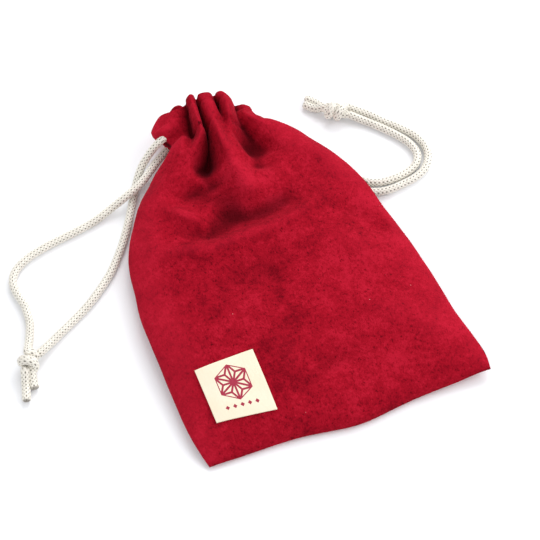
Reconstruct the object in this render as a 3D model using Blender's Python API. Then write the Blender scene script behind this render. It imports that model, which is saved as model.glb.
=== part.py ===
"""Drawstring pouch of soft suede-like cloth, lying on its back with its neck drawn shut.

One closed, hollow cloth body with a cream label sewn on its front. Two round
drawstrings run through the casing in opposite directions, leave it at the two
side openings and end in one knot each. Every length is in millimetres until a
point is placed, and MM turns it into metres. X runs along the hem, Y from the
hem to the mouth, Z up from the back panel.
"""

import math

import bmesh
import bpy
from mathutils import Vector

MM = 0.001

# Cloth
WALL = 1.5                      # two layers of nap, pressed
HEM_SEAM = 3.0                  # closed strip inside the hem
# Stations from hem to mouth: left x, left y, right x, right y, height, left edge z, right edge z
STATIONS = (
    (-51.1, -69.9, 52.7, -72.4, 4.2, 2.0, 2.2),
    (-52.5, -64.0, 53.6, -66.5, 6.8, 2.8, 3.0),
    (-53.5, -56.0, 52.4, -58.5, 9.4, 3.4, 3.6),
    (-53.2, -44.0, 50.9, -46.5, 11.8, 4.0, 4.0),
    (-52.8, -32.0, 50.3, -34.0, 13.2, 4.2, 4.2),
    (-52.5, -20.0, 49.7, -21.5, 13.6, 4.4, 4.6),
    (-52.0, -8.0, 48.3, -8.5, 13.6, 4.4, 5.0),
    (-50.7, 2.0, 47.0, 3.0, 13.6, 4.6, 5.4),
    (-48.8, 12.0, 46.2, 13.0, 13.8, 4.8, 6.4),
    (-46.2, 20.6, 44.2, 20.5, 14.4, 5.2, 7.2),
    (-42.5, 28.8, 40.9, 28.4, 15.4, 5.8, 7.8),
    (-38.2, 36.0, 37.2, 35.6, 16.4, 6.4, 8.2),
    (-33.2, 42.5, 32.6, 42.8, 17.8, 7.4, 8.8),
    (-27.6, 47.8, 27.4, 48.6, 19.6, 8.8, 9.4),
    (-22.6, 52.4, 22.2, 52.8, 21.4, 10.2, 10.2),
    (-19.2, 55.8, 18.6, 56.0, 22.2, 11.0, 11.0),
    (-18.2, 59.4, 17.6, 59.4, 22.4, 11.0, 11.0),
    (-18.8, 63.0, 17.6, 63.0, 22.8, 11.0, 11.0),
    (-20.4, 66.4, 18.2, 66.2, 22.8, 11.2, 10.8),
    (-20.6, 69.6, 17.8, 69.2, 21.6, 11.2, 10.6),
    (-18.6, 72.4, 15.6, 71.8, 19.4, 11.0, 10.4),
)
RING_POINTS = 56                # points round the pouch at each station
CROWN_SIDE = 3.0                # how square the crown is across the pouch
CROWN_ROUND = 0.42
FLAT_SHARE = 0.80               # share of the half width that lies flat on the back panel
SHOULDER_FLAT = 0.62            # the same where the right shoulder lies over its cords

# Neck
FLUTES = 9
FLUTE_START = 44.0              # y where the gathers begin to show
FLUTE_FULL = 58.0
FLUTE_DEPTH = 1.0
NECK_HOLE = (-0.5, 9.0)         # x and z of what is left of the mouth
NECK_HOLE_HALF = (5.0, 2.6)
NECK_HOLE_START = 40.0          # y where the inside narrows towards the hole
NECK_HOLE_FULL = 54.0

# Label
LABEL_CORNERS = ((-43.2, -58.0), (-22.3, -61.2), (-22.3, -38.4), (-43.5, -37.8))
LABEL_THICK = 0.6
LABEL_GAP = 0.35
LABEL_CUTS = (8, 9)

# Drawstrings
CORD_D = 3.0
CORD_SIDES = 2                  # bevel resolution of a thin cord
CORD_STEP = 7.0                 # between the points of a tube
RUN_STEP = 4.0                  # the same inside the casing, which bends more
END_GAP = 0.3                   # between a strand and what it meets
TUNNEL_D = 3.9
TUNNEL_SIDES = 12

LEFT_RUN = (
    (-19.6, 58.7, 13.1), (-16.2, 60.4, 15.8), (-11.6, 61.2, 17.7), (-6.0, 61.2, 18.5),
    (0.0, 61.2, 18.6), (6.0, 61.2, 18.4), (10.8, 61.2, 16.8), (13.6, 61.2, 13.6),
    (14.2, 61.2, 10.4), (13.2, 61.2, 7.0), (10.4, 61.2, 4.5), (6.0, 61.2, 3.3),
    (0.0, 61.2, 3.2), (-6.0, 61.2, 3.3), (-12.6, 61.0, 3.8), (-16.4, 60.0, 4.5), (-19.4, 58.2, 5.2),
)
RIGHT_RUN = (
    (19.4, 55.6, 7.6), (17.6, 56.6, 9.4), (16.0, 57.4, 12.0), (13.4, 57.7, 15.4), (9.4, 57.7, 17.8),
    (5.0, 57.7, 18.5), (0.0, 57.7, 18.6), (-6.0, 57.7, 18.4), (-10.8, 57.7, 16.8),
    (-13.9, 57.7, 13.6), (-14.6, 57.7, 10.4), (-13.6, 57.7, 7.0), (-10.8, 57.7, 4.5),
    (-6.0, 57.7, 3.3), (0.0, 57.7, 3.2), (6.0, 57.7, 3.2), (11.6, 57.4, 3.4),
    (15.4, 56.4, 3.5), (18.0, 54.5, 3.5),
)
LEFT_STRAND_FRONT = (
    (-20.1, 58.5, 12.8), (-23.2, 57.8, 11.2), (-26.6, 56.8, 8.3), (-30.6, 54.6, 4.8),
    (-34.8, 49.4, 2.0), (-39.1, 41.6, 1.6), (-43.5, 33.7, 1.6), (-49.0, 25.3, 1.6),
    (-55.9, 16.7, 1.6), (-63.1, 10.2, 1.6), (-68.8, 5.9, 1.6), (-74.8, 2.3, 1.6),
    (-80.6, -1.0, 1.8), (-86.0, -4.4, 2.4), (-90.9, -7.4, 3.4),
)
LEFT_STRAND_BACK = (
    (-19.9, 57.8, 5.3), (-24.3, 54.6, 5.6), (-29.2, 50.6, 5.5), (-34.0, 47.0, 5.5),
    (-39.2, 44.6, 5.2), (-46.4, 42.9, 2.7), (-54.3, 40.3, 1.6), (-62.8, 38.4, 1.6),
    (-72.7, 36.6, 1.6), (-81.1, 34.3, 1.6), (-87.2, 30.8, 1.6), (-90.0, 26.6, 1.6),
    (-90.3, 21.6, 1.6), (-89.2, 14.7, 1.6), (-89.6, 7.4, 1.8), (-91.2, 2.0, 2.6), (-93.2, -3.2, 3.7),
)
RIGHT_STRAND_FRONT = (
    (19.9, 55.3, 7.1), (22.8, 54.0, 5.0), (26.2, 50.4, 2.3), (30.8, 42.8, 1.6),
    (35.2, 35.2, 1.6), (39.4, 27.6, 1.6), (44.0, 21.4, 1.6), (49.0, 17.9, 1.6),
    (54.4, 16.6, 1.6), (60.6, 17.0, 1.6), (65.6, 18.6, 1.6), (69.0, 21.8, 1.6),
    (70.0, 25.9, 1.6), (68.7, 31.1, 1.6), (65.1, 37.0, 1.6), (61.1, 42.2, 1.6),
    (57.0, 46.6, 1.9), (52.5, 50.4, 3.3),
)
RIGHT_STRAND_BACK = (
    (18.5, 54.0, 3.5), (21.0, 50.6, 2.4), (25.4, 43.8, 1.6), (30.3, 35.6, 1.6),
    (34.8, 27.8, 1.6), (39.4, 20.4, 1.6), (45.0, 14.9, 1.6), (51.6, 12.7, 1.6),
    (59.0, 13.1, 1.6), (66.0, 14.6, 1.6), (71.0, 17.9, 1.6), (73.9, 23.2, 1.6),
    (74.0, 28.8, 1.6), (71.7, 34.2, 1.6), (68.2, 38.9, 1.6), (63.9, 44.0, 1.6),
    (60.2, 48.6, 1.9), (53.0, 54.6, 3.3),
)

# Knots: middle, half sizes, turn about Z, and the route of each cut end
LEFT_KNOT = (-95.3, -9.6, 4.1)
LEFT_KNOT_HALF = (4.1, 6.0, 4.1)
LEFT_KNOT_TURN = math.radians(-17)
LEFT_TIPS = (
    ((-95.2, -11.5, 3.4), (-95.6, -15.5, 2.2), (-95.8, -19.0, 1.7)),
    ((-97.0, -11.5, 3.4), (-98.8, -17.0, 2.0), (-100.2, -22.6, 1.7)),
)
RIGHT_KNOT = (48.0, 53.2, 4.1)
RIGHT_KNOT_HALF = (4.2, 4.8, 4.1)
RIGHT_KNOT_TURN = math.radians(30)
RIGHT_TIPS = (
    ((46.8, 56.0, 3.4), (43.8, 60.6, 2.0), (40.8, 65.2, 1.7)),
    ((45.6, 54.8, 3.4), (42.2, 58.8, 2.0), (38.8, 62.6, 1.7)),
)
KNOT_CUTS = 2                   # subdivisions of a knot's ball

CRIMSON = (0.37, 0.010, 0.021, 1.0)
CREAM = (0.89, 0.83, 0.69, 1.0)
CORD_WHITE = (0.74, 0.70, 0.62, 1.0)


def clear_scene():
    """Removes whatever the file holds."""
    for thing in list(bpy.data.objects):
        bpy.data.objects.remove(thing)


def make_material(name, colour, roughness):
    """One plain finish."""
    material = bpy.data.materials.new(name)
    material.use_nodes = True
    shader = material.node_tree.nodes["Principled BSDF"]
    shader.inputs["Base Color"].default_value = colour
    shader.inputs["Roughness"].default_value = roughness
    shader.inputs["Metallic"].default_value = 0.0
    return material


def add_object(name, bm, material):
    """Turns a bmesh in millimetres into a smooth-shaded object in metres."""
    bmesh.ops.recalc_face_normals(bm, faces=bm.faces)
    bmesh.ops.scale(bm, vec=(MM, MM, MM), verts=bm.verts)
    mesh = bpy.data.meshes.new(name)
    bm.to_mesh(mesh)
    bm.free()
    mesh.shade_smooth()
    mesh.materials.append(material)
    thing = bpy.data.objects.new(name, mesh)
    bpy.context.scene.collection.objects.link(thing)
    return thing


def ease(value, start, full):
    """0 before start, 1 after full, smooth between."""
    t = min(1.0, max(0.0, (value - start) / (full - start)))
    return t * t * (3.0 - 2.0 * t)


def crown(share, height, edge):
    """Height of the front panel at a share of the half width, -1 to 1."""
    round_part = max(0.0, 1.0 - abs(share) ** CROWN_SIDE)
    return edge + (height - edge) * round_part ** CROWN_ROUND


def underside(share, edge, flat):
    """Height of the back panel, flat on the ground across the middle."""
    rise = max(0.0, (abs(share) - flat) / (1.0 - flat))
    return edge * rise ** 0.5


def station_ring(station, inset):
    """Points round the pouch at one station, the right edge first and over the front."""
    left_x, left_y, right_x, right_y, height, left_edge, right_edge = station
    middle_x, half = (left_x + right_x) / 2, (right_x - left_x) / 2
    middle_y = (left_y + right_y) / 2
    gather = ease(middle_y, FLUTE_START, FLUTE_FULL)
    neck = ease(middle_y, NECK_HOLE_START, NECK_HOLE_FULL)
    shoulder = ease(middle_y, 4.0, 20.0)
    ring = []
    for i in range(RING_POINTS):
        angle = 2 * math.pi * i / RING_POINTS
        across, up = math.cos(angle), math.sin(angle)
        share = math.copysign(abs(across) ** 0.8, across)
        edge = right_edge if across > 0 else left_edge
        edge = edge * abs(share) + (left_edge + right_edge) / 2 * (1 - abs(share))
        flat = FLAT_SHARE
        if across > 0:
            flat += (SHOULDER_FLAT - FLAT_SHARE) * shoulder
        x = middle_x + share * (half - inset)
        y = left_y + (right_y - left_y) * (x - left_x) / (2 * half)
        if up >= 0:
            z = crown(share, height - inset, edge)
        else:
            z = max(inset, underside(share, edge, flat))
        z = z * (1 - gather) + (height / 2 + (height / 2 - inset) * up) * gather
        x = x * (1 - gather) + (middle_x + across * (half - inset)) * gather
        if inset == 0:
            push = -gather * FLUTE_DEPTH * (1 - math.cos(FLUTES * angle)) / 2
            x, z = x + across * push, z + up * push * (1 if up > 0 else 0.4)
        else:
            hole_x = NECK_HOLE[0] + math.copysign(abs(across) ** 0.5, across) * NECK_HOLE_HALF[0]
            hole_z = NECK_HOLE[1] + math.copysign(abs(up) ** 0.5, up) * NECK_HOLE_HALF[1]
            x = x * (1 - neck) + hole_x * neck
            z = z * (1 - neck) + hole_z * neck
        ring.append((x, y, z))
    return ring


def blend_stations(low, high, share):
    """A station part of the way between two others."""
    return tuple(a + (b - a) * share for a, b in zip(low, high))


def add_rings(bm, rings):
    """A skin through rings of points. Returns the first and last rings' edges."""
    loops = []
    for ring in rings:
        verts = [bm.verts.new(point) for point in ring]
        loops.append([bm.edges.new((verts[i - 1], verts[i])) for i in range(len(verts))])
    for low, high in zip(loops, loops[1:]):
        bmesh.ops.bridge_loops(bm, edges=low + high)
    return loops[0], loops[-1]


def make_pouch_body(material):
    """The sewn cloth body: closed hem, hollow inside, bunched neck with a small mouth."""
    bm = bmesh.new()
    outer_hem, outer_mouth = add_rings(bm, [station_ring(s, 0.0) for s in STATIONS])
    first = blend_stations(STATIONS[0], STATIONS[1], HEM_SEAM / 6.0)
    inner_stations = (first,) + STATIONS[1:]
    inner_hem, inner_mouth = add_rings(bm, [station_ring(s, WALL) for s in inner_stations])
    bmesh.ops.contextual_create(bm, geom=outer_hem)
    bmesh.ops.contextual_create(bm, geom=inner_hem)
    bmesh.ops.bridge_loops(bm, edges=outer_mouth + inner_mouth)
    bmesh.ops.triangulate(bm, faces=bm.faces)
    body = add_object("pouch_body", bm, material)
    for name, route in (("left", LEFT_RUN), ("right", RIGHT_RUN)):
        cut = body.modifiers.new(name + " casing", "BOOLEAN")
        cut.operation = "DIFFERENCE"
        cut.object = make_tunnel(name + "_tunnel", route)
    return body


def surface_height(x, y):
    """Height of the front panel above a point of the back panel."""
    middle = [(s[1] + s[3]) / 2 for s in STATIONS]
    i = max(k for k in range(len(STATIONS) - 1) if middle[k] <= y)
    share = (y - middle[i]) / (middle[i + 1] - middle[i])
    left_x, _, right_x, _, height, left_edge, _ = blend_stations(STATIONS[i], STATIONS[i + 1], share)
    across = (x - (left_x + right_x) / 2) / ((right_x - left_x) / 2)
    return crown(across, height, left_edge)


def make_label(material):
    """A small square patch that lies on the front panel."""
    bm = bmesh.new()
    bmesh.ops.create_grid(bm, x_segments=LABEL_CUTS[0], y_segments=LABEL_CUTS[1], size=0.5)
    low_left, low_right, top_right, top_left = [Vector(c) for c in LABEL_CORNERS]
    for vert in bm.verts:
        u, v = vert.co.x + 0.5, vert.co.y + 0.5
        point = low_left.lerp(low_right, u).lerp(top_left.lerp(top_right, u), v)
        height = surface_height(point.x, point.y) + LABEL_GAP
        vert.co = (point.x, point.y, height)
    bottom = bm.faces[:]
    lifted = bmesh.ops.extrude_face_region(bm, geom=bottom)["geom"]
    moved = [v for v in lifted if isinstance(v, bmesh.types.BMVert)]
    bmesh.ops.translate(bm, verts=moved, vec=(0, 0, LABEL_THICK))
    return add_object("label", bm, material)


def smooth_route(points, step):
    """Points about one step apart on a smooth curve through the route's own points."""
    knots = [Vector(p) for p in points]
    knots = [knots[0] * 2 - knots[1]] + knots + [knots[-1] * 2 - knots[-2]]
    fine = []
    for a, b, c, d in zip(knots, knots[1:], knots[2:], knots[3:]):
        for k in range(24):
            t = k / 24
            fine.append(0.5 * (2 * b + (c - a) * t + (2 * a - 5 * b + 4 * c - d) * t ** 2
                               + (3 * b - a - 3 * c + d) * t ** 3))
    fine.append(knots[-2])
    along = [0.0]
    for a, b in zip(fine, fine[1:]):
        along.append(along[-1] + (b - a).length)
    count = max(2, round(along[-1] / step))
    picked, k = [], 0
    for i in range(count + 1):
        wanted = along[-1] * i / count
        while k < len(along) - 2 and along[k + 1] < wanted:
            k += 1
        share = (wanted - along[k]) / (along[k + 1] - along[k])
        picked.append(fine[k].lerp(fine[k + 1], share))
    return picked


def make_tube(name, points, step, material):
    """A plain round cord along a route, with closed ends."""
    curve = bpy.data.curves.new(name, "CURVE")
    curve.dimensions = "3D"
    curve.bevel_depth = CORD_D / 2 * MM
    curve.bevel_resolution = CORD_SIDES
    curve.use_fill_caps = True
    spline = curve.splines.new("POLY")
    route = smooth_route(points, step)
    spline.points.add(len(route) - 1)
    for point, place in zip(spline.points, route):
        point.co = (*(place * MM), 1.0)
    curve.materials.append(material)
    thing = bpy.data.objects.new(name, curve)
    bpy.context.scene.collection.objects.link(thing)
    return thing


def add_sweep(bm, route, radius, sides):
    """A closed round bar along a route, added to a bmesh."""
    rings = []
    for i, place in enumerate(route):
        ahead = route[min(i + 1, len(route) - 1)] - route[max(i - 1, 0)]
        turn = ahead.to_track_quat("Z", "Y")
        circle = [Vector((math.cos(2 * math.pi * k / sides), math.sin(2 * math.pi * k / sides), 0))
                  for k in range(sides)]
        rings.append([place + turn @ (c * radius) for c in circle])
    first, last = add_rings(bm, rings)
    bmesh.ops.contextual_create(bm, geom=first)
    bmesh.ops.contextual_create(bm, geom=last)


def make_tunnel(name, points):
    """Cutter for one drawstring's way through the casing, run out past both ends."""
    route = smooth_route(points, RUN_STEP)
    route[0] = route[0] + (route[0] - route[1]).normalized() * 4.0
    route[-1] = route[-1] + (route[-1] - route[-2]).normalized() * 4.0
    bm = bmesh.new()
    add_sweep(bm, route, TUNNEL_D / 2, TUNNEL_SIDES)
    cutter = add_object(name, bm, None)
    cutter.hide_render = True
    cutter.display_type = "WIRE"
    return cutter


def make_knot(name, middle, half, turn, tips, material):
    """An overhand knot's outer shape with its two cut ends."""
    bm = bmesh.new()
    bmesh.ops.create_icosphere(bm, subdivisions=KNOT_CUTS, radius=1.0)
    bmesh.ops.scale(bm, vec=half, verts=bm.verts)
    for vert in bm.verts:
        x, y = vert.co.x, vert.co.y
        vert.co.x = x * math.cos(turn) - y * math.sin(turn)
        vert.co.y = x * math.sin(turn) + y * math.cos(turn)
    bmesh.ops.translate(bm, verts=bm.verts, vec=middle)
    knot = add_object(name, bm, material)
    for number, points in enumerate(tips):
        bar = bmesh.new()
        add_sweep(bar, smooth_route(points, 3.0), CORD_D / 2, 8)
        tip = add_object(f"{name}_end_{number}", bar, material)
        tip.hide_render = True
        tip.display_type = "WIRE"
        join = knot.modifiers.new(f"end {number}", "BOOLEAN")
        join.operation = "UNION"
        join.object = tip
    return knot


def main():
    clear_scene()
    cloth = make_material("crimson_suede", CRIMSON, 0.95)
    patch = make_material("cream_label", CREAM, 0.8)
    cord = make_material("white_cord", CORD_WHITE, 0.85)
    make_pouch_body(cloth)
    make_label(patch)
    make_tube("left_casing_run", LEFT_RUN, RUN_STEP, cord)
    make_tube("right_casing_run", RIGHT_RUN, RUN_STEP, cord)
    make_tube("left_strand_front", LEFT_STRAND_FRONT, CORD_STEP, cord)
    make_tube("left_strand_back", LEFT_STRAND_BACK, CORD_STEP, cord)
    make_tube("right_strand_front", RIGHT_STRAND_FRONT, CORD_STEP, cord)
    make_tube("right_strand_back", RIGHT_STRAND_BACK, CORD_STEP, cord)
    make_knot("left_knot", LEFT_KNOT, LEFT_KNOT_HALF, LEFT_KNOT_TURN, LEFT_TIPS, cord)
    make_knot("right_knot", RIGHT_KNOT, RIGHT_KNOT_HALF, RIGHT_KNOT_TURN, RIGHT_TIPS, cord)


main()
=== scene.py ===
import math

import bmesh
import bpy
import numpy as np
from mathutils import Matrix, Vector, noise
from mathutils.bvhtree import BVHTree


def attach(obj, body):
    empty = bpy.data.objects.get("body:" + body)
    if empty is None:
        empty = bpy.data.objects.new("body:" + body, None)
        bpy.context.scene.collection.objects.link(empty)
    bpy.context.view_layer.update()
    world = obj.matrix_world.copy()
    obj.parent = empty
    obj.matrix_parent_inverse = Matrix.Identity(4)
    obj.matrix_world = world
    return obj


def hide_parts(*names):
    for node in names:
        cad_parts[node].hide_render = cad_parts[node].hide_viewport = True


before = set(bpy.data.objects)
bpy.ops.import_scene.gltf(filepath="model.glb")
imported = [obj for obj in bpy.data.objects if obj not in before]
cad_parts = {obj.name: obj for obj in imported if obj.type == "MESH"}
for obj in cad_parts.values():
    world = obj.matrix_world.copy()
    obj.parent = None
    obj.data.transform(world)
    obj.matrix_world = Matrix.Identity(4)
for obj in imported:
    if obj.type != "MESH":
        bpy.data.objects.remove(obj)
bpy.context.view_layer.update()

mm = 0.001            # places below are in millimetres until they are put on a mesh
noise.seed_set(5)     # the cloth's unevenness is the same on every run


def meshObject(name, bm):
    # a bmesh in millimetres becomes a smooth piece in metres, with its place in its mesh
    bmesh.ops.scale(bm, vec=(mm, mm, mm), verts=bm.verts)
    mesh = bpy.data.meshes.new(name)
    bm.to_mesh(mesh)
    bm.free()
    mesh.shade_smooth()
    piece = bpy.data.objects.new(name, mesh)
    bpy.context.scene.collection.objects.link(piece)
    return piece


def ease(value, start, full):
    t = np.clip((value - start) / (full - start), 0.0, 1.0)
    return t * t * (3.0 - 2.0 * t)


def smoothColumn(values, places):
    # reads a column of given values at fractional places, on a Catmull-Rom curve
    column = np.asarray(values, float)
    padded = np.concatenate([2 * column[:1] - column[1:2], column, 2 * column[-1:] - column[-2:-1]])
    at = np.clip(places, 0, len(column) - 1 - 1e-9)
    k = at.astype(int)
    t = at - k
    t = t.reshape(t.shape + (1,) * (column.ndim - 1))
    a, b, c, d = padded[k], padded[k + 1], padded[k + 2], padded[k + 3]
    return 0.5 * (2 * b + (c - a) * t + (2 * a - 5 * b + 4 * c - d) * t ** 2
                  + (3 * b - a - 3 * c + d) * t ** 3)


print("pouch: studio")

studio = {
    "aim": (-1.5, -3.0, 0.0), "azimuth": -22.0, "elevation": 57.0, "distance": 602.0, "lens": 110.0,
    "paper": (0.95, 0.96, 0.99), "paperHalf": 1600.0,
    "key": ((0.52, 0.80, 0.95), 0.95, 9.2),      # place in metres, size, power
    "fill": ((-0.8, -0.5, 0.9), 0.9, 2.9),
    "rim": ((0.9, -0.2, 0.6), 0.9, 5.4),
    "air": 0.66,
}


def setCamera(values):
    turn, rise = math.radians(values["azimuth"]), math.radians(values["elevation"])
    back = Vector((math.sin(turn) * math.cos(rise), -math.cos(turn) * math.cos(rise), math.sin(rise)))
    lens = bpy.data.cameras.new("studioCamera")
    lens.lens = values["lens"]
    camera = bpy.data.objects.new("studioCamera", lens)
    camera.location = (Vector(values["aim"]) + back * values["distance"]) * mm
    camera.rotation_euler = back.to_track_quat("Z", "Y").to_euler()
    bpy.context.scene.collection.objects.link(camera)
    bpy.context.scene.camera = camera


def setSoftBox(name, place, size, power):
    lamp = bpy.data.lights.new(name, "AREA")
    lamp.shape = "DISK"
    lamp.size = size
    lamp.energy = power
    box = bpy.data.objects.new(name, lamp)
    box.location = place
    box.rotation_euler = Vector(place).to_track_quat("Z", "Y").to_euler()
    bpy.context.scene.collection.objects.link(box)


def setStudio(values):
    setCamera(values)
    for name in ("key", "fill", "rim"):
        setSoftBox(name + "Light", *values[name])
    world = bpy.data.worlds.new("studioAir")
    world.use_nodes = True
    world.node_tree.nodes["Background"].inputs["Color"].default_value = (1.0, 1.0, 1.0, 1.0)
    world.node_tree.nodes["Background"].inputs["Strength"].default_value = values["air"]
    bpy.context.scene.world = world
    bpy.context.scene.view_settings.view_transform = "Standard"
    bm = bmesh.new()
    bmesh.ops.create_grid(bm, x_segments=1, y_segments=1, size=values["paperHalf"])
    floor = meshObject("floor", bm)
    paper, _, _ = newFinish("palePaper", values["paper"], 0.9)
    floor.data.materials.append(paper)


# finishes

def newFinish(name, colour, roughness):
    finish = bpy.data.materials.new(name)
    finish.use_nodes = True
    shader = finish.node_tree.nodes["Principled BSDF"]
    shader.inputs["Base Color"].default_value = (*colour, 1.0)
    shader.inputs["Roughness"].default_value = roughness
    shader.inputs["Specular IOR Level"].default_value = 0.25
    return finish, finish.node_tree, shader


def addNode(tree, kind, **settings):
    node = tree.nodes.new(kind)
    for key, value in settings.items():
        setattr(node, key, value)
    return node


def mixColour(tree, factor, first, second, blend="MIX"):
    # factor, first and second are sockets or plain values
    node = addNode(tree, "ShaderNodeMix", data_type="RGBA", blend_type=blend)
    for socket, value in ((node.inputs[0], factor), (node.inputs[6], first), (node.inputs[7], second)):
        if isinstance(value, bpy.types.NodeSocket):
            tree.links.new(value, socket)
        elif isinstance(value, tuple):
            socket.default_value = (*value, 1.0)
        else:
            socket.default_value = value
    return node.outputs[2]


def scaleRange(tree, value, low, high, newLow=0.0, newHigh=1.0):
    node = addNode(tree, "ShaderNodeMapRange", interpolation_type="SMOOTHSTEP")
    tree.links.new(value, node.inputs["Value"])
    for key, number in (("From Min", low), ("From Max", high), ("To Min", newLow), ("To Max", newHigh)):
        node.inputs[key].default_value = number
    return node.outputs["Result"]


def addNoise(tree, place, perMetre, detail=3.0, rough=0.55, stretch=None):
    if stretch:
        spread = addNode(tree, "ShaderNodeMapping")
        spread.inputs["Scale"].default_value = stretch
        tree.links.new(place, spread.inputs["Vector"])
        place = spread.outputs["Vector"]
    node = addNode(tree, "ShaderNodeTexNoise")
    node.inputs["Scale"].default_value = perMetre
    node.inputs["Detail"].default_value = detail
    node.inputs["Roughness"].default_value = rough
    tree.links.new(place, node.inputs["Vector"])
    return node.outputs["Fac"]


def sumOf(tree, parts):
    # weighted sum of sockets
    total = None
    for socket, weight in parts:
        node = addNode(tree, "ShaderNodeMath", operation="MULTIPLY_ADD")
        tree.links.new(socket, node.inputs[0])
        node.inputs[1].default_value = weight
        if total is None:
            node.inputs[2].default_value = 0.0
        else:
            tree.links.new(total, node.inputs[2])
        total = node.outputs[0]
    return total


def addBump(tree, shader, height, depth):
    node = addNode(tree, "ShaderNodeBump")
    node.inputs["Distance"].default_value = depth * mm
    node.inputs["Strength"].default_value = 1.0
    tree.links.new(height, node.inputs["Height"])
    tree.links.new(node.outputs["Normal"], shader.inputs["Normal"])


print("pouch: drawstrings")

cord = {
    "diameter": 3.0, "around": 32, "rib": 0.25,       # round rib spacing along the cord
    "wales": 6, "stitch": 1.5, "slant": 0.55, "relief": 0.18, "holeDepth": 0.3,
    "light": (0.90, 0.865, 0.775), "holeShadeAndCore": (0.105, 0.085, 0.06), "roughness": 0.8,
}

# each strand's own points, from where it leaves the casing to its knot
strandRoutes = {
    "left_strand_front": [
        (-20.1, 58.5, 12.8), (-23.2, 57.8, 11.2), (-26.6, 56.8, 8.3), (-30.6, 54.6, 4.8),
        (-34.8, 49.4, 2.0), (-39.1, 41.6, 1.6), (-43.5, 33.7, 1.6), (-49.0, 25.3, 1.6),
        (-55.9, 16.7, 1.6), (-63.1, 10.2, 1.6), (-68.8, 5.9, 1.6), (-74.8, 2.3, 1.6),
        (-80.6, -1.0, 1.8), (-86.0, -4.4, 2.4), (-90.9, -7.4, 3.4)],
    "left_strand_back": [
        (-19.9, 57.8, 5.3), (-24.3, 54.6, 5.6), (-29.2, 50.6, 5.5), (-34.0, 47.0, 5.5),
        (-39.2, 44.6, 5.2), (-46.4, 42.9, 2.7), (-54.3, 40.3, 1.6), (-62.8, 38.4, 1.6),
        (-72.7, 36.6, 1.6), (-81.1, 34.3, 1.6), (-87.2, 30.8, 1.6), (-90.0, 26.6, 1.6),
        (-90.3, 21.6, 1.6), (-89.2, 14.7, 1.6), (-89.6, 7.4, 1.8), (-91.2, 2.0, 2.6), (-93.2, -3.2, 3.7)],
    "right_strand_front": [
        (19.9, 55.3, 7.1), (22.8, 54.0, 5.0), (26.2, 50.4, 2.3), (30.8, 42.8, 1.6),
        (35.2, 35.2, 1.6), (39.4, 27.6, 1.6), (44.0, 21.4, 1.6), (49.0, 17.9, 1.6),
        (54.4, 16.6, 1.6), (60.6, 17.0, 1.6), (65.6, 18.6, 1.6), (69.0, 21.8, 1.6),
        (70.0, 25.9, 1.6), (68.7, 31.1, 1.6), (65.1, 37.0, 1.6), (61.1, 42.2, 1.6),
        (57.0, 46.6, 1.9), (52.5, 50.4, 3.3)],
    "right_strand_back": [
        (18.5, 54.0, 3.5), (21.0, 50.6, 2.4), (25.4, 43.8, 1.6), (30.3, 35.6, 1.6),
        (34.8, 27.8, 1.6), (39.4, 20.4, 1.6), (45.0, 14.9, 1.6), (51.6, 12.7, 1.6),
        (59.0, 13.1, 1.6), (66.0, 14.6, 1.6), (71.0, 17.9, 1.6), (73.9, 23.2, 1.6),
        (74.0, 28.8, 1.6), (71.7, 34.2, 1.6), (68.2, 38.9, 1.6), (63.9, 44.0, 1.6),
        (60.2, 48.6, 1.9), (53.0, 54.6, 3.3)],
}

# inside the gathered casing, from one side opening round the neck and back to it
casingRoutes = {
    "left_casing_run": [
        (-20.9, 58.3, 12.3), (-20.1, 58.5, 12.8), (-19.2, 58.9, 13.0), (-17.6, 60.1, 12.0),
        (-14.6, 61.0, 10.9), (-11.0, 61.2, 10.4), (-7.0, 61.2, 10.1),
        (0.0, 61.2, 10.0), (4.6, 61.2, 9.8), (7.4, 61.2, 8.2), (4.6, 61.2, 6.5),
        (0.0, 61.2, 6.4), (-7.0, 61.0, 6.2), (-12.6, 60.6, 5.8), (-16.4, 59.8, 5.4),
        (-18.8, 58.5, 5.3), (-19.9, 57.8, 5.3), (-20.7, 57.2, 5.4)],
    "right_casing_run": [
        (20.6, 54.9, 6.5), (19.9, 55.3, 7.1), (18.6, 55.9, 7.7), (15.6, 56.7, 7.6),
        (12.0, 57.3, 7.0), (8.0, 57.7, 7.8),
        (3.0, 57.7, 9.9), (-5.0, 57.7, 10.0), (-8.6, 57.7, 9.4), (-10.0, 57.7, 8.1),
        (-8.6, 57.7, 6.8), (-5.0, 57.7, 6.4), (3.0, 57.7, 6.3), (8.0, 57.5, 5.6),
        (12.0, 56.8, 4.6), (15.4, 55.9, 3.9), (17.5, 55.0, 3.7), (18.5, 54.0, 3.5), (19.1, 53.2, 3.4)],
}


def evenRoute(points, step):
    # points one step apart on a smooth curve through a route's own points
    fine = smoothColumn(points, np.linspace(0, len(points) - 1, 60 * len(points)))
    along = np.concatenate([[0], np.cumsum(np.linalg.norm(np.diff(fine, axis=0), axis=1))])
    wanted = np.linspace(0, along[-1], max(3, round(along[-1] / step) + 1))
    return np.stack([np.interp(wanted, along, fine[:, i]) for i in range(3)], axis=1), float(along[-1])


def carriedFrames(route):
    # two directions square to the cord, carried along it without twist
    ahead = np.gradient(route, axis=0)
    ahead /= np.linalg.norm(ahead, axis=1)[:, None]
    side = np.cross(ahead[0], (0, 0, 1.0))
    side /= np.linalg.norm(side)
    sides = [side]
    for direction in ahead[1:]:
        side = side - direction * (side @ direction)
        side = side / np.linalg.norm(side)
        sides.append(side)
    sides = np.array(sides)
    return sides, np.cross(ahead, sides)


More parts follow.
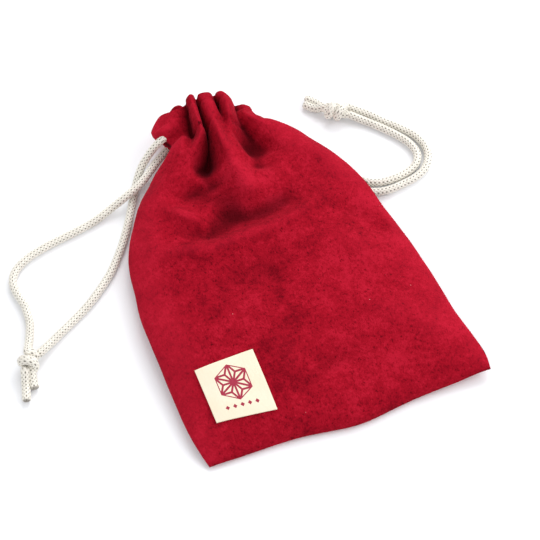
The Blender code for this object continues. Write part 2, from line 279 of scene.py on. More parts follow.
def knitRelief(turn, along, values):
    # height of the knitted face and depth of the holes between the legs of its V stitches; the hole depth also
    # sets the painted shade in the holes
    across = np.abs((turn * values["wales"]) % 1.0 - 0.5) * 2
    leg = 0.5 + 0.5 * np.cos(2 * math.pi * (along / values["stitch"] + values["slant"] * across))
    gap = 0.5 - 0.5 * np.cos(2 * math.pi * along / values["stitch"])
    between = 0.5 + 0.5 * np.cos(2 * math.pi * (along / values["stitch"] + values["slant"]))
    hole = np.maximum(gap ** 1.4 * np.exp(-(across / 0.34) ** 2),
                      0.75 * (1 - between) ** 1.4 * np.exp(-((1 - across) / 0.26) ** 2))
    height = (leg ** 0.7 - 0.6) * values["relief"] - hole * values["holeDepth"]
    return height, hole


def knitTube(name, points, values, diameter=None, step=None, cutEnd=False):
    # a knitted cord along a route; returns the piece, its centre line and its length
    radius = (diameter or values["diameter"]) / 2
    route, length = evenRoute(points, step or values["rib"])
    sides, ups = carriedFrames(route)
    around, rows = values["around"], len(route) - 1
    bm = bmesh.new()
    bmesh.ops.create_grid(bm, x_segments=around, y_segments=rows, size=0.5)
    hole = bm.verts.layers.float.new("hole")
    bm.verts.ensure_lookup_table()
    flat = np.array([v.co for v in bm.verts])
    turn, row = flat[:, 0] + 0.5, np.rint((flat[:, 1] + 0.5) * rows).astype(int)
    height, depth = knitRelief(turn, row / rows * length, values)
    ends = np.minimum(row, rows - row) / rows * length
    shrink = 1.0 - 0.35 * np.clip(1 - ends / 0.5, 0, 1) ** 2
    if cutEnd:
        # the cut end shows its brownish core
        depth = np.maximum(depth, 0.5 * ease(row, rows - 2.6, rows - 0.5))
    reach = (radius + height) * shrink
    place = (route[row] + sides[row] * (np.cos(turn * 2 * math.pi) * reach)[:, None]
             + ups[row] * (np.sin(turn * 2 * math.pi) * reach)[:, None])
    # the hole layer holds how much painted shade each hole gets, and the core colour at the cut end
    for vert, co, dark in zip(bm.verts, place, depth):
        vert.co = co
        vert[hole] = dark
    bmesh.ops.remove_doubles(bm, verts=bm.verts, dist=1e-4)
    rims = [e for e in bm.edges if e.is_boundary]
    bmesh.ops.holes_fill(bm, edges=rims, sides=0)
    caps = [f for f in bm.faces if len(f.verts) > 4]
    bmesh.ops.poke(bm, faces=caps)
    bmesh.ops.recalc_face_normals(bm, faces=bm.faces)
    return meshObject(name, bm), route, length


def cordFinish(values):
    finish, tree, shader = newFinish("knittedCord", values["light"], values["roughness"])
    shader.inputs["Sheen Weight"].default_value = 0.25
    shader.inputs["Sheen Roughness"].default_value = 0.5
    place = addNode(tree, "ShaderNodeTexCoord").outputs["Object"]
    hole = addNode(tree, "ShaderNodeAttribute", attribute_name="hole").outputs["Fac"]
    fibre = addNoise(tree, place, 2600.0, detail=2.0)
    patch = addNoise(tree, place, 160.0, detail=2.0)
    # painted shade: the holes between the stitches darken towards one dark colour, which also gives the cut ends
    # their brownish core
    depth = scaleRange(tree, hole, 0.18, 0.72)
    yarn = mixColour(tree, scaleRange(tree, patch, 0.35, 0.7), values["light"], (0.79, 0.75, 0.67))
    yarn = mixColour(tree, scaleRange(tree, fibre, 0.3, 0.75, 0.0, 0.5), yarn, (0.94, 0.92, 0.865))
    colour = mixColour(tree, depth, yarn, values["holeShadeAndCore"])
    tree.links.new(colour, shader.inputs["Base Color"])
    addBump(tree, shader, fibre, 0.12)
    return finish


cordMaterial = cordFinish(cord)
strands = {}
for name, points in strandRoutes.items():
    strands[name] = knitTube(name.replace("_", "-") + "-knit", points, cord)
for name, points in casingRoutes.items():
    piece, route, length = knitTube(name.replace("_", "-") + "-knit", points, cord, step=0.5)
    piece.data.materials.append(cordMaterial)
    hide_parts(name)
    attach(piece, "root")


print("pouch: knots")

# an overhand knot tied in both strands: each strand comes in, wraps the bundle and leaves as a short cut end
knots = {
    "left": {
        "middle": (-95.2, -9.6, 4.2), "axis": (-0.25, -0.97, 0.0), "wrapRadius": 2.3, "cordDiameter": 3.1,
        "strands": ("left_strand_back", "left_strand_front"), "starts": (100.0, 250.0), "turns": (1.35, 1.3),
        "from": (-3.6, -1.6), "to": (1.4, 3.4),
        "ends": (((-95.6, -15.5, 2.0), (-95.9, -19.0, 1.6)), ((-98.6, -17.0, 2.0), (-100.2, -22.6, 1.6))),
    },
    "right": {
        "middle": (48.0, 53.4, 4.2), "axis": (-0.80, 0.60, 0.0), "wrapRadius": 2.3, "cordDiameter": 3.1,
        "strands": ("right_strand_back", "right_strand_front"), "starts": (60.0, 240.0), "turns": (1.35, 1.3),
        "from": (-3.0, -1.2), "to": (1.2, 3.0),
        "ends": (((44.0, 60.4, 2.0), (40.9, 65.0, 1.6)), ((42.4, 58.4, 2.0), (39.0, 62.4, 1.6))),
    },
}


def knotRoute(values, number):
    middle, axis = Vector(values["middle"]), Vector(values["axis"]).normalized()
    side = axis.cross(Vector((0, 0, 1))).normalized()
    lift = side.cross(axis)
    start = strandRoutes[values["strands"][number]]
    points = [Vector(start[-1]).lerp(Vector(start[-2]), 0.06)]
    steps = 11
    for k in range(steps + 1):
        share = k / steps
        angle = math.radians(values["starts"][number] + 360 * values["turns"][number] * share)
        reach = values["wrapRadius"] * (1 - 0.45 * max(0.0, abs(2 * share - 1) - 0.7) / 0.3)
        down = values["from"][number] + (values["to"][number] - values["from"][number]) * share
        points.append(middle + axis * down + (side * math.cos(angle) + lift * math.sin(angle)) * reach)
    points += [Vector(p) for p in values["ends"][number]]
    return [tuple(p) for p in points]


def tieKnot(name, values):
    tubes = [knitTube(f"{name}Tube{i}", knotRoute(values, i), cord, values["cordDiameter"], cutEnd=True)[0]
             for i in (0, 1)]
    bm = bmesh.new()
    for tube in tubes:
        bm.from_mesh(tube.data)
        bpy.data.objects.remove(tube)
    bmesh.ops.scale(bm, vec=(1 / mm,) * 3, verts=bm.verts)
    knot = meshObject(name + "-knot-tied", bm)
    knot.data.materials.append(cordMaterial)
    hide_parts(name + "_knot")
    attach(knot, "root")
    return knot


tied = {name: tieKnot(name, values) for name, values in knots.items()}
for name, (piece, route, length) in strands.items():
    piece.data.materials.append(cordMaterial)
    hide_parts(name)
    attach(piece, "root")


print("pouch: cloth body")

pouch = {
    "columns": 36, "perColumn": 8, "bodyRows": 92, "neckRows": 62, "turnRows": 8, "liningRows": 84,
    "cloth": 0.75, "mouthCloth": 1.15, "hem": -71.15, "neckFrom": 31.0, "mouth": 68.4,
    "crownSide": 2.8, "crownRound": 0.44, "flatShare": 0.80, "shoulderFlat": 0.62,
    "gatherFrom": 31.0, "gatherFull": 43.0, "hemBow": (4.0, 16.0, 2.7), "cornerLift": 2.2, "unevenness": 0.5,
    # each casing opening gets a dark painted shade where the cord goes in, at this place and radius
    "casingOpenings": [(-19.4, 56.8, 10.0, 2.4), (18.4, 53.6, 5.4, 2.2)],  # place and radius
    # the opening and lining amounts set how dark the painted shade is at the casing openings and inside the bag
    "openingShade": 4.0, "liningShade": 3.0, "wobbles": ((0.045, 1.0), (0.13, 0.4)), "stitchLines": (54.3, 64.6),
    "stitchDepth": 0.4, "stitchHalf": 0.8,
}

# hem to shoulder: left x, left y, right x, right y, height, left edge z, right edge z
pouchStations = [
    (-50.6, -69.9, 53.6, -72.4, 3.0, 1.3, 1.6),
    (-51.9, -64.0, 54.2, -66.5, 6.4, 2.4, 2.8),
    (-53.0, -56.0, 53.4, -58.5, 9.0, 3.2, 3.4),
    (-53.3, -44.0, 51.9, -46.5, 11.4, 3.8, 4.0),
    (-53.3, -32.0, 51.2, -34.0, 12.8, 4.2, 4.2),
    (-53.3, -20.0, 50.2, -21.5, 13.4, 4.4, 4.6),
    (-53.0, -8.0, 48.4, -8.5, 13.6, 4.4, 5.0),
    (-51.6, 2.0, 46.4, 3.0, 13.6, 4.6, 5.4),
    (-50.2, 12.0, 45.1, 13.0, 13.8, 4.8, 6.4),
    (-47.5, 20.6, 42.9, 20.5, 14.2, 5.2, 7.2),
    (-42.9, 28.8, 39.6, 28.4, 15.0, 5.8, 7.8),
    (-38.2, 36.0, 35.8, 35.6, 16.0, 6.4, 8.2),
    (-33.2, 42.5, 31.9, 42.8, 17.6, 7.4, 8.8),
    (-27.6, 47.8, 27.4, 48.6, 19.4, 8.8, 9.4),
]

# the gathered neck: lines of the cloth from the right side over the front to the left side,
# each at eight places from the shoulder up to the mouth
neckLines = [
    [(36.5, 34.5, 8.1), (32.9, 41.2, 8.7), (28.9, 47.4, 9.6), (23.4, 53.0, 10.3),
     (18.2, 57.6, 10.0), (17.4, 60.6, 8.8), (17.8, 62.8, 7.2), (17.8, 65.2, 6.6)],
    [(33.0, 34.5, 12.3), (28.6, 41.0, 12.5), (23.8, 46.7, 12.6), (18.6, 51.8, 13.0),
     (14.8, 56.6, 13.0), (13.6, 60.2, 11.8), (14.8, 63.2, 10.4), (15.2, 65.6, 9.0)],
    [(25.0, 34.5, 13.4), (21.4, 41.0, 12.4), (18.0, 46.5, 11.8), (14.6, 51.5, 11.2),
     (12.4, 56.6, 12.0), (11.9, 60.4, 11.2), (13.0, 63.6, 9.8), (13.4, 66.0, 8.8)],
    [(18.5, 34.5, 11.2), (16.2, 41.0, 8.6), (13.8, 46.5, 7.6), (11.4, 51.5, 8.4),
     (10.2, 56.6, 10.6), (10.4, 60.7, 10.8), (11.2, 64.2, 9.2), (11.8, 66.8, 8.4)],
    [(13.2, 34.5, 10.6), (11.4, 41.0, 7.8), (9.9, 46.5, 7.4), (8.4, 51.3, 11.4),
     (8.3, 56.4, 15.6), (9.6, 61.0, 15.8), (10.2, 64.6, 15.0), (10.0, 66.8, 14.2)],
    [(9.8, 34.5, 11.6), (8.3, 41.0, 9.2), (7.3, 46.5, 9.4), (5.8, 51.0, 15.4),
     (5.9, 56.4, 19.8), (6.9, 61.0, 20.4), (7.4, 64.8, 20.0), (7.2, 67.0, 19.0)],
    [(7.6, 34.5, 13.8), (6.5, 41.0, 12.8), (5.5, 46.5, 13.6), (4.2, 51.4, 17.2),
     (4.2, 56.5, 18.2), (4.7, 61.0, 18.2), (4.9, 64.6, 18.2), (5.0, 67.3, 18.4)],
    [(5.6, 34.5, 15.8), (4.6, 41.0, 16.4), (3.8, 46.5, 17.0), (3.2, 51.5, 17.8),
     (3.3, 56.5, 17.4), (3.7, 61.0, 15.2), (4.2, 64.2, 13.6), (4.0, 67.2, 16.4)],
    [(3.2, 34.5, 17.4), (2.4, 41.0, 18.4), (1.7, 46.5, 18.8), (1.5, 51.5, 19.2),
     (1.9, 56.5, 19.6), (2.2, 61.0, 19.8), (2.6, 65.0, 19.6), (2.7, 67.7, 19.2)],
    [(-0.4, 34.5, 18.6), (-1.4, 41.0, 20.6), (-1.4, 46.5, 21.7), (-1.1, 51.5, 22.0),
     (-0.7, 56.5, 21.3), (-0.3, 61.0, 21.6), (0.1, 65.0, 21.2), (0.4, 68.0, 20.2)],
    [(-3.4, 34.5, 15.8), (-3.6, 41.0, 15.8), (-3.0, 46.5, 17.4), (-3.0, 51.5, 19.0),
     (-2.8, 56.5, 19.4), (-2.6, 61.0, 20.0), (-2.2, 65.0, 20.0), (-1.9, 68.2, 19.6)],
    [(-9.6, 34.5, 10.0), (-8.2, 41.0, 6.8), (-6.2, 46.5, 6.8), (-4.4, 51.5, 9.6),
     (-4.1, 56.5, 12.8), (-3.7, 61.0, 14.4), (-3.1, 65.0, 15.6), (-2.8, 68.0, 17.0)],
    [(-14.4, 34.5, 11.6), (-12.6, 41.0, 10.6), (-8.7, 46.5, 13.8), (-5.2, 51.3, 16.7),
     (-5.0, 56.5, 19.4), (-4.5, 61.0, 19.8), (-4.0, 65.0, 19.8), (-3.7, 68.4, 20.0)],
    [(-17.2, 34.5, 14.0), (-14.8, 41.0, 14.8), (-10.6, 46.6, 17.6), (-6.9, 51.3, 21.2),
     (-6.4, 56.5, 22.0), (-6.0, 61.0, 22.0), (-5.6, 65.0, 21.6), (-5.3, 68.5, 21.0)],
    [(-19.8, 34.5, 14.8), (-16.8, 41.0, 15.8), (-12.2, 47.0, 18.0), (-8.5, 52.0, 18.4),
     (-7.8, 56.5, 19.0), (-7.6, 61.0, 19.4), (-7.2, 65.0, 19.4), (-6.9, 68.1, 19.4)],
    [(-23.0, 34.5, 14.8), (-19.4, 41.3, 15.8), (-14.2, 47.6, 17.2), (-10.4, 53.0, 14.6),
     (-9.2, 56.6, 11.8), (-8.6, 60.4, 12.8), (-8.2, 64.3, 15.0), (-7.9, 67.2, 16.6)],
    [(-27.4, 34.5, 14.0), (-23.0, 41.0, 14.8), (-17.8, 47.8, 16.4), (-14.0, 52.8, 17.8),
     (-12.8, 56.6, 14.2), (-13.4, 59.8, 15.8), (-13.4, 63.4, 17.4), (-13.6, 66.9, 16.6)],
    [(-33.2, 34.5, 11.6), (-27.8, 41.0, 12.2), (-23.2, 47.8, 12.9), (-19.0, 52.4, 14.4),
     (-17.4, 55.8, 11.6), (-19.2, 59.6, 16.0), (-19.4, 63.0, 15.4), (-18.0, 67.4, 14.8)],
    [(-39.4, 35.0, 6.3), (-32.8, 41.8, 7.3), (-26.8, 48.0, 8.4), (-20.0, 52.6, 8.4),
     (-17.4, 55.8, 8.8), (-21.6, 59.9, 13.9), (-22.9, 61.7, 13.0), (-22.6, 64.4, 11.6)],
]

# the back of the neck, from the left side to the right, at the eight places; lobe is the line, width
# and height of the small lobe behind the slim fold
neckBack = {
    "y": (34.5, 41.0, 46.5, 51.5, 56.5, 61.4, 66.4, 71.0), "fold": (0.0, 0.0, 1.8, 3.4, 3.8, 3.6, 3.8, 4.2),
    "low": (0.05, 0.05, 0.3, 0.6, 0.7, 0.7, 0.9, 1.3), "wave": 4.4, "lobe": (6.6, 1.2, 7.0),
    "lobeGrowth": (0, 0, 0, 0, 0, 0.25, 0.6, 1.0), "lobeAhead": 0.8, "firstFold": 0.4, "sideHeight": 0.62,
    "narrow": 0.97,
}

# ridges and hollows of the front panel: points in plan, half width, height
folds = [
    ([(-1.0, 37), (-0.4, 31), (0.6, 24), (2.0, 17)], 5.0, 3.4),
    ([(-19.0, 36), (-16.0, 30), (-10.5, 25), (-8.5, 19), (-8.0, 11)], 7.0, -3.3),
    ([(-10.5, 40), (-9.5, 34), (-8.5, 28)], 4.0, -2.2),
    ([(13.0, 47), (11.0, 41), (9.4, 36), (7.2, 29)], 5.4, -5.4),
    ([(-13.0, 34), (-18.0, 32), (-24.0, 31), (-31.0, 30)], 4.5, -1.7),
    ([(16.0, 40), (19.0, 34), (22.0, 27), (25.0, 20)], 7.0, -1.6),
    ([(28.0, 40), (33.0, 32), (37.0, 22), (39.0, 12)], 5.0, 1.8),
    ([(-25.0, 14.4), (-17.0, 13.2), (-8.0, 14.0), (4.0, 14.6), (18.0, 18.0), (29.0, 24.0)], 5.4, -2.8),
    ([(-38.0, 12), (-31.0, 8.4), (-20.0, 5.0), (-9.0, 5.4), (4.0, 5.8), (18.0, 8.8), (32.0, 14.8)], 3.8, 2.3),
    ([(-29.0, 26), (-25.0, 21.5), (-20.0, 16.5), (-16.0, 14.0)], 2.8, 2.0),
    ([(-44.0, 8), (-40.0, 18), (-34.0, 27)], 5.0, 1.2),
    ([(-30.0, -14), (-12.0, -10), (4.0, -16)], 8.0, -1.8),
    ([(8.0, -2), (24.0, -8), (38.0, -20)], 7.0, 1.3),
    ([(30.0, 6), (38.0, -2), (43.0, -12)], 6.0, -1.8),
    ([(20.0, -36), (36.0, -46), (46.0, -58)], 7.0, 1.4),
    ([(-16.0, -58), (0.0, -52), (18.0, -54)], 6.0, -1.3),
    ([(-14.0, -34), (-10.0, -44), (-12.0, -56)], 5.0, 0.9),
]


def roundColumn(values, places):
    # reads a row of values that closes on itself, in the same way
    values = np.asarray(values, float)
    wrapped = np.concatenate([values[-1:], values, values[:2]])
    return smoothColumn(wrapped, np.asarray(places) % len(values) + 1)


def foldHeight(x, y, points, width, height):
    # a rounded ridge or hollow along a line, fading at its ends
    line = smoothColumn(points, np.linspace(0, len(points) - 1, 90))
    gap = np.full(x.shape, 1e9)
    share = np.zeros(x.shape)
    for k, (px, py) in enumerate(line):
        away = np.hypot(x - px, y - py)
        share = np.where(away < gap, k / (len(line) - 1), share)
        gap = np.minimum(gap, away)
    fade = ease(1 - share, 0.0, 0.3) * ease(share, -0.12, 0.2)
    return height * fade * np.exp(-(gap / width) ** 2)


def stationColumns(y):
    # the outline at each distance from the hem
    middle = np.array([(s[1] + s[3]) / 2 for s in pouchStations])
    fine = np.linspace(0, len(middle) - 1, 2000)
    place = np.interp(y, smoothColumn(middle, fine), fine)
    return smoothColumn(pouchStations, place)


def bodyPlaces(share, front, y):
    # the flat part: share of the half width, which panel, and distance from the hem
    leftX, leftY, rightX, rightY, height, leftEdge, rightEdge = np.moveaxis(stationColumns(y), -1, 0)
    middle, half = (leftX + rightX) / 2, (rightX - leftX) / 2
    out = np.abs(share)
    edge = np.where(share > 0, rightEdge, leftEdge) * out + (leftEdge + rightEdge) / 2 * (1 - out)
    bow = np.maximum(0, 1 - out ** pouch["crownSide"]) ** pouch["crownRound"]
    slack = pouch["shoulderFlat"] - pouch["flatShare"]
    flat = pouch["flatShare"] + slack * ease(y, 4.0, 20.0) * (share > 0)
    under = edge * np.sqrt(np.maximum(0, (out - flat) / (1 - flat)))
    x = middle + share * half
    z = np.where(front, edge + (height - edge) * bow, under)
    across = leftY + (rightY - leftY) * (x - leftX) / (2 * half)
    bowAt, bowHalf, bowDepth = pouch["hemBow"]
    across = across - bowDepth * np.exp(-((x - bowAt) / bowHalf) ** 2) * ease(-y, 40.0, 70.0)
    rim = ease(1 - out, 0.0, 0.22)
    z = z + np.where(front, sum(foldHeight(x, across, *f) for f in folds) * rim, 0)
    z = z + pouch["cornerLift"] * ease(x, 20.0, 54.0) * ease(-across, 44.0, 72.0)
    return np.stack([x, across, z], axis=-1)


def panelShares():
    # how far across the body each line of the cloth runs, the same on both panels
    leftX, _, rightX = stationColumns(np.array([pouch["neckFrom"] + 3.5]))[0][:3]
    front = [(line[0][0] - (leftX + rightX) / 2) / ((rightX - leftX) / 2) for line in neckLines]
    front[0], front[-1] = 1.0, -1.0
    return np.array(front + front[-2:0:-1])


def neckNet():
    # the neck's lines at their eight places, all the way round
    net = np.zeros((8, pouch["columns"], 3))
    shares = panelShares()
    for k, line in enumerate(neckLines):
        net[:, k] = line
    last = len(neckLines) - 1
    lobeLine, lobeWidth, lobeHeight = neckBack["lobe"]
    for row in range(8):
        y = neckBack["y"][row]
        right, left = net[row, 0], net[row, last]
        middle, half = (left[0] + right[0]) / 2, (right[0] - left[0]) / 2
        for k in range(1, pouch["columns"] - last):
            if row < 2:
                net[row, last + k] = bodyPlaces(shares[last + k], False, np.array(y))
                continue
            turn = math.cos(math.pi * k / (pouch["columns"] - last))
            side = left[2] if turn > 0 else right[2]
            wave = 2 * math.pi * (k - neckBack["firstFold"]) / neckBack["wave"]
            fold = neckBack["fold"][row] * (0.5 - 0.5 * math.cos(wave))
            z = neckBack["low"][row] + fold * (1 - turn ** 4) + neckBack["sideHeight"] * side * turn ** 6
            near = math.exp(-((k - lobeLine) / lobeWidth) ** 2)
            z += lobeHeight * near * neckBack["lobeGrowth"][row]
            ahead = y + (neckBack["lobeAhead"] * near if row == 7 else 0)
            edge = (left[1] if turn > 0 else right[1]) - y
            net[row, last + k] = (middle - half * turn * neckBack["narrow"], ahead + edge * abs(turn) ** 5, z)
    return net


def outwardNormals(places):
    along = np.gradient(places, axis=0)
    wrapped = np.concatenate([places[:, -1:], places, places[:, :1]], axis=1)
    normals = np.cross(along, (wrapped[:, 2:] - wrapped[:, :-2]) / 2)
    return normals / np.maximum(np.linalg.norm(normals, axis=2), 1e-9)[..., None]


def clothPlaces():
    # the outer face of the cloth, hem to mouth by rows, right side round to itself by columns
    y = np.concatenate([np.linspace(pouch["hem"], pouch["neckFrom"], pouch["bodyRows"], endpoint=False),
                        np.linspace(pouch["neckFrom"], pouch["mouth"], pouch["neckRows"] + 1)])
    count = pouch["columns"] * pouch["perColumn"]
    column = np.arange(count) / pouch["perColumn"]
    share = np.clip(roundColumn(panelShares(), column), -1, 1)
    front = column <= len(neckLines) - 1
    body = bodyPlaces(*np.broadcast_arrays(share[None, :], front[None, :], y[:, None]))
    net = neckNet()
    ring = roundColumn(net.transpose(1, 0, 2).reshape(pouch["columns"], -1), column)
    ring = ring.reshape(count, 8, 3).transpose(1, 0, 2).reshape(8, -1)
    station = np.interp(y, [line[1] for line in neckLines[9]], np.arange(8))
    neck = smoothColumn(ring, station).reshape(len(y), count, 3)
    gather = ease(y, pouch["gatherFrom"], pouch["gatherFull"])[:, None, None]
    places = body * (1 - gather) + neck * gather
    for point in places.reshape(-1, 3):
        wobble = Vector((0.0, 0.0, 0.0))
        for size, weight in pouch["wobbles"]:
            wobble += noise.noise_vector(Vector(point) * size) * pouch["unevenness"] * weight
        point += (wobble.x * 0.5, wobble.y * 0.5, wobble.z * min(1.0, point[2] / 3))
    places[..., 2] = np.maximum(places[..., 2], 0.05)
    groove = sum(np.exp(-((y - line) / pouch["stitchHalf"]) ** 2) for line in pouch["stitchLines"])
    return places - outwardNormals(places) * (groove * pouch["stitchDepth"])[:, None, None], y


def hollowDepth(places):
    # how far each place lies under the mean of its surroundings, along its own normal, which sets the cloth's
    # painted shade and painted highlight
    wide = places
    for step in range(1, 9):
        wide = wide / 2 + (np.roll(wide, step, axis=1) + np.roll(wide, -step, axis=1)) / 4
    for step in range(1, 6):
        padded = np.pad(wide, ((step, step), (0, 0), (0, 0)), mode="edge")
        wide = wide / 2 + (padded[2 * step:] + padded[:-2 * step]) / 4
    return ((wide - places) * outwardNormals(places)).sum(axis=2)


def sewBody():
    # one closed skin: up the outer face, over at the mouth, and down inside to the hem
    outer, y = clothPlaces()
    normals = outwardNormals(outer)
    thick = pouch["cloth"] + (pouch["mouthCloth"] - pouch["cloth"]) * ease(y, 60.0, 66.0)
    inner = outer - normals * thick[:, None, None]
    ahead = outer[-1] - outer[-2]
    ahead /= np.linalg.norm(ahead, axis=1)[:, None]
    rows = list(outer)
    for k in range(1, pouch["turnRows"] + 1):
        turn = math.pi * k / pouch["turnRows"]
        rows.append(outer[-1] - normals[-1] * thick[-1] / 2 * (1 - math.cos(turn))
                    + ahead * thick[-1] / 2 * math.sin(turn))
    top, low = len(y) - 1, 3
    for k in range(1, pouch["liningRows"] + 1):
        share = k / pouch["liningRows"]
        place = top + (low - top) * (0.8 * share + 0.2 * share ** 3)
        near = int(place)
        rows.append(inner[near] + (inner[near + 1] - inner[near]) * (place - near))
    places = np.array(rows)
    count = places.shape[1]
    # painted shade inside the bag, growing from the mouth down the lining
    innerShade = ease(np.arange(len(places)), len(y), len(y) + 40.0) * pouch["liningShade"]
    shading = np.repeat(innerShade[:, None], count, axis=1)
    # painted shade in the hollows of the outer face, and painted highlight on its ridges, follow how deep each
    # place lies
    shading[:len(y)] = hollowDepth(outer)
    # painted shade at each casing opening
    for *middle, radius in pouch["casingOpenings"]:
        shading += pouch["openingShade"] * np.exp(-(np.linalg.norm(places - middle, axis=2) / radius) ** 2)
    for row in (0, -1):
        mirrored = places[row][(-np.arange(count)) % count]
        places[row] = (places[row] + mirrored) / 2
    bm = bmesh.new()
    bmesh.ops.create_grid(bm, x_segments=count, y_segments=len(places) - 1, size=0.5)
    hollow = bm.verts.layers.float.new("hollow")
    for vert in bm.verts:
        row, column = round((vert.co.y + 0.5) * (len(places) - 1)), round((vert.co.x + 0.5) * count) % count
        vert.co = places[row, column]
        vert[hollow] = shading[row, column]
    bmesh.ops.remove_doubles(bm, verts=bm.verts, dist=1e-4)
    bmesh.ops.recalc_face_normals(bm, faces=bm.faces)
    return meshObject("pouch-cloth", bm)


body = sewBody()


# the colours for the hollows and the ridges are painted shade and painted highlight; the others are the suede's
# own nap, flecks and lint
suedeColours = {
    "plain": (0.34, 0.008, 0.02), "deep": (0.20, 0.0020, 0.0092), "base": (0.325, 0.0042, 0.0150),
    "bright": (0.43, 0.0085, 0.026), "fleck": (0.075, 0.001, 0.004), "lint": (0.62, 0.20, 0.20),
    "hollow": (0.03, 0.0004, 0.0016), "ridgeHighlight": (0.52, 0.013, 0.036), "sheen": (1.0, 0.15, 0.25),
}


def suedeFinish(colours):
    finish, tree, shader = newFinish("crimsonSuede", colours["plain"], 0.95)
    shader.inputs["Specular IOR Level"].default_value = 0.04
    shader.inputs["Sheen Weight"].default_value = 0.10
    shader.inputs["Sheen Roughness"].default_value = 0.35
    shader.inputs["Sheen Tint"].default_value = (*colours["sheen"], 1.0)
    place = addNode(tree, "ShaderNodeTexCoord").outputs["Object"]
    broad = addNoise(tree, place, 45.0, detail=2.0, rough=0.55)
    patch = addNoise(tree, place, 170.0, detail=3.0, rough=0.6)
    nap = addNoise(tree, place, 620.0, detail=3.0, rough=0.65)
    grain = addNoise(tree, place, 1900.0, detail=2.0, rough=0.7, stretch=(1.0, 0.6, 1.0))
    brushed = sumOf(tree, [(broad, 0.28), (patch, 0.22), (nap, 0.26), (grain, 0.24)])
    colour = mixColour(tree, scaleRange(tree, brushed, 0.40, 0.515), colours["deep"], colours["base"])
    colour = mixColour(tree, scaleRange(tree, brushed, 0.50, 0.60), colour, colours["bright"])
    specks = scaleRange(tree, sumOf(tree, [(nap, 0.40), (grain, 0.60)]), 0.43, 0.33, 0.0, 0.7)
    colour = mixColour(tree, specks, colour, colours["fleck"])
    lint = addNode(tree, "ShaderNodeTexVoronoi")
    lint.inputs["Scale"].default_value = 300.0
    tree.links.new(place, lint.inputs["Vector"])
    chosen = addNode(tree, "ShaderNodeSeparateColor")
    tree.links.new(lint.outputs["Color"], chosen.inputs["Color"])
    few = scaleRange(tree, chosen.outputs["Red"], 0.90, 0.93)
    dot = scaleRange(tree, lint.outputs["Distance"], 0.07, 0.035)
    speck = addNode(tree, "ShaderNodeMath", operation="MULTIPLY")
    tree.links.new(few, speck.inputs[0])
    tree.links.new(dot, speck.inputs[1])
    colour = mixColour(tree, speck.outputs[0], colour, colours["lint"])
    # painted shade darkens the cloth in its hollows, inside the lining and at the casing openings; painted
    # highlight lightens its ridges
    hollow = addNode(tree, "ShaderNodeAttribute", attribute_name="hollow").outputs["Fac"]
    colour = mixColour(tree, scaleRange(tree, hollow, 0.0, 2.8, 0.0, 0.86), colour, colours["hollow"])
    colour = mixColour(tree, scaleRange(tree, hollow, -0.4, -2.4, 0.0, 0.3), colour, colours["ridgeHighlight"])
    tree.links.new(colour, shader.inputs["Base Color"])
    height = sumOf(tree, [(patch, 0.25), (nap, 0.4), (grain, 0.35)])
    addBump(tree, shader, height, 0.5)
    return finish


suede = suedeFinish(suedeColours)
body.data.materials.append(suede)
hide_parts("pouch_body")
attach(body, "root")

# the casing's inner ply, drawn tight over each cord inside the neck
sleeve = dict(cord, diameter=3.8, around=24, relief=0.0, holeDepth=0.0)
for name, points in casingRoutes.items():
    ply = knitTube(name.split("_")[0] + "-casing-ply", points[2:-2], sleeve, step=0.8)[0]
    ply.data.materials.append(suede)
    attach(ply, "root")


print("pouch: label")

label = {
    "corners": [(-43.2, -58.0), (-22.3, -61.2), (-22.3, -38.4), (-43.5, -37.8)],
    "across": 44, "up": 48, "thick": 0.55, "gap": 0.25,
    "cream": (0.90, 0.79, 0.61), "ink": (0.36, 0.022, 0.055), "roughness": 0.75,
    "starMiddle": (0.5, 0.58), "starRadius": 6.4, "lineWidth": 0.34, "inkHeight": 0.03,
    "rowPlace": 0.185, "rowCount": 5, "rowStep": 2.6, "rowSize": 0.75,
}


def labelPlace(u, v):
    a, b, c, d = [Vector(p) for p in label["corners"]]
    return a.lerp(b, u).lerp(d.lerp(c, u), v)


def clothHeights():
    # height of the cloth under the label, smoothed as the stiffer tape bridges small hollows
    graph = bpy.context.evaluated_depsgraph_get()
    tree = BVHTree.FromObject(body, graph)
    count = 13
    heights = np.zeros((count, count))
    for i in range(count):
        for k in range(count):
            x, y = labelPlace(k / (count - 1), i / (count - 1))
            hit = tree.ray_cast(Vector((x, y, 60)) * mm, Vector((0, 0, -1)))[0]
            heights[i, k] = hit.z / mm
    return heights


panel = clothHeights()


def tapePoint(u, v, lift):
    count = panel.shape[0] - 1
    column = smoothColumn(panel, np.array([v * count]))[0]
    height = smoothColumn(column, np.array([u * count]))[0]
    x, y = labelPlace(u, v)
    return Vector((x, y, height + label["gap"] + lift))


def cutLabel():
    bm = bmesh.new()
    bmesh.ops.create_grid(bm, x_segments=label["across"], y_segments=label["up"], size=0.5)
    for vert in bm.verts:
        vert.co = tapePoint(vert.co.x + 0.5, vert.co.y + 0.5, 0.0)
    bmesh.ops.recalc_face_normals(bm, faces=bm.faces)
    bmesh.ops.solidify(bm, geom=bm.faces[:], thickness=-label["thick"])
    bmesh.ops.recalc_face_normals(bm, faces=bm.faces)
    rim = [e for e in bm.edges if e.calc_face_angle(0.0) > 1.0]
    bmesh.ops.bevel(bm, geom=rim, offset=0.1, segments=2, profile=0.5, affect="EDGES", material=-1)
    return meshObject("label-tape", bm)


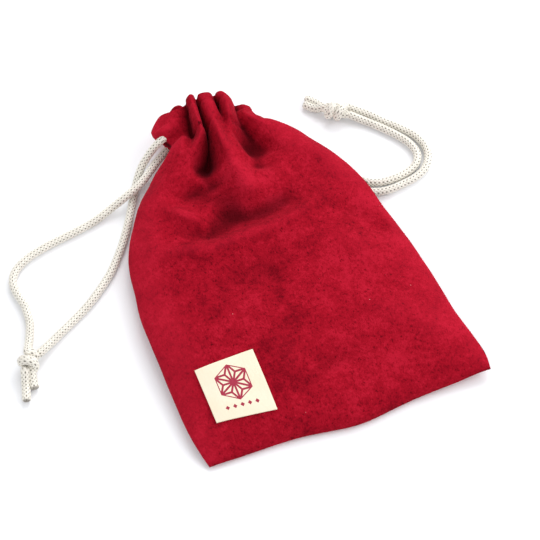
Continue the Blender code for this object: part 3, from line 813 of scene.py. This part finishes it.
def printLabel():
    # a hemp-leaf star in a hexagon over a row of small diamonds
    width = (Vector(label["corners"][1]) - Vector(label["corners"][0])).length
    tall = (Vector(label["corners"][3]) - Vector(label["corners"][0])).length
    bm = bmesh.new()
    bmesh.ops.create_circle(bm, segments=6, radius=label["starRadius"], cap_ends=True, cap_tris=True)
    bmesh.ops.poke(bm, faces=bm.faces[:])
    cells = bm.faces[:]
    bmesh.ops.inset_individual(bm, faces=cells, thickness=label["lineWidth"], use_even_offset=True)
    bmesh.ops.delete(bm, geom=cells, context="FACES")
    for vert in bm.verts:
        vert.co.y += (label["starMiddle"][1] - 0.5) * tall
    for k in range(label["rowCount"]):
        along = (k - (label["rowCount"] - 1) / 2) * label["rowStep"]
        middle = Vector((along, (label["rowPlace"] - 0.5) * tall, 0))
        diamond = bmesh.ops.create_circle(bm, segments=4, radius=label["rowSize"], cap_ends=True)["verts"]
        bmesh.ops.translate(bm, verts=diamond, vec=middle)
    long = [e for e in bm.edges if e.calc_length() > 1.0]
    bmesh.ops.subdivide_edges(bm, edges=long, cuts=6, use_grid_fill=True)
    bmesh.ops.triangulate(bm, faces=bm.faces)
    lift = label["thick"] + label["inkHeight"]
    for vert in bm.verts:
        vert.co = tapePoint(0.5 + vert.co.x / width, 0.5 + vert.co.y / tall, lift)
    return meshObject("label-print", bm)


tape = cutLabel()
ink = printLabel()


def tapeFinish():
    finish, tree, shader = newFinish("creamTape", label["cream"], label["roughness"])
    place = addNode(tree, "ShaderNodeTexCoord").outputs["Object"]
    weave = addNoise(tree, place, 1800.0, detail=2.0, stretch=(1.0, 0.35, 1.0))
    soil = addNoise(tree, place, 120.0, detail=2.0)
    colour = mixColour(tree, scaleRange(tree, soil, 0.3, 0.75, 0.0, 0.5), label["cream"], (0.92, 0.84, 0.69))
    colour = mixColour(tree, scaleRange(tree, weave, 0.35, 0.7, 0.0, 0.25), colour, (0.80, 0.71, 0.55))
    tree.links.new(colour, shader.inputs["Base Color"])
    addBump(tree, shader, weave, 0.06)
    return finish


def inkFinish():
    finish, tree, shader = newFinish("crimsonInk", label["ink"], 0.6)
    place = addNode(tree, "ShaderNodeTexCoord").outputs["Object"]
    weave = addNoise(tree, place, 1800.0, detail=2.0, stretch=(1.0, 0.35, 1.0))
    colour = mixColour(tree, scaleRange(tree, weave, 0.3, 0.7, 0.0, 0.35), label["ink"], (0.46, 0.06, 0.10))
    tree.links.new(colour, shader.inputs["Base Color"])
    return finish


tape.data.materials.append(tapeFinish())
ink.data.materials.append(inkFinish())
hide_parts("label")
for piece in (tape, ink):
    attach(piece, "root")

setStudio(studio)
